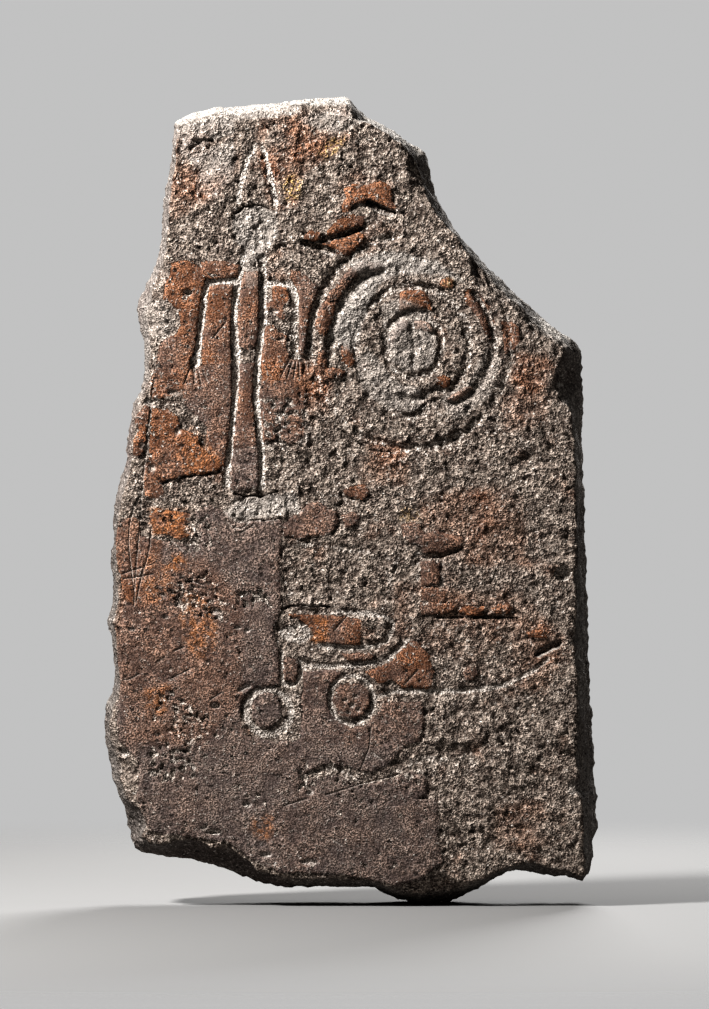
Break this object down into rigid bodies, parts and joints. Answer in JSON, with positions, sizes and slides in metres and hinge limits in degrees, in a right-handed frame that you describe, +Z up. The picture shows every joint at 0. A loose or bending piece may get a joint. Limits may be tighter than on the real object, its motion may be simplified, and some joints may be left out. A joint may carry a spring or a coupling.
{
  "type": "engraved stone stele",
  "caption": "Broken upright stone slab whose front is engraved with a warrior in a pointed helmet, a round notched shield, a spear and a two-wheeled cart.",
  "frame": {"origin": "the flat facet under the broken foot, at mid-width and mid-thickness of the slab", "axes": "+Z up along the slab's height, the carved face towards -Y, +X to the right of a viewer who faces the carving"},
  "size_m": [0.7455, 0.1832, 1.221],
  "materials": {
    "weathered_stone": "rough weathered grey stone with patches of smooth reddish brown old skin"
  },
  "bodies": {
    "root": {"stele": "weathered_stone"}
  },
  "joints": []
}
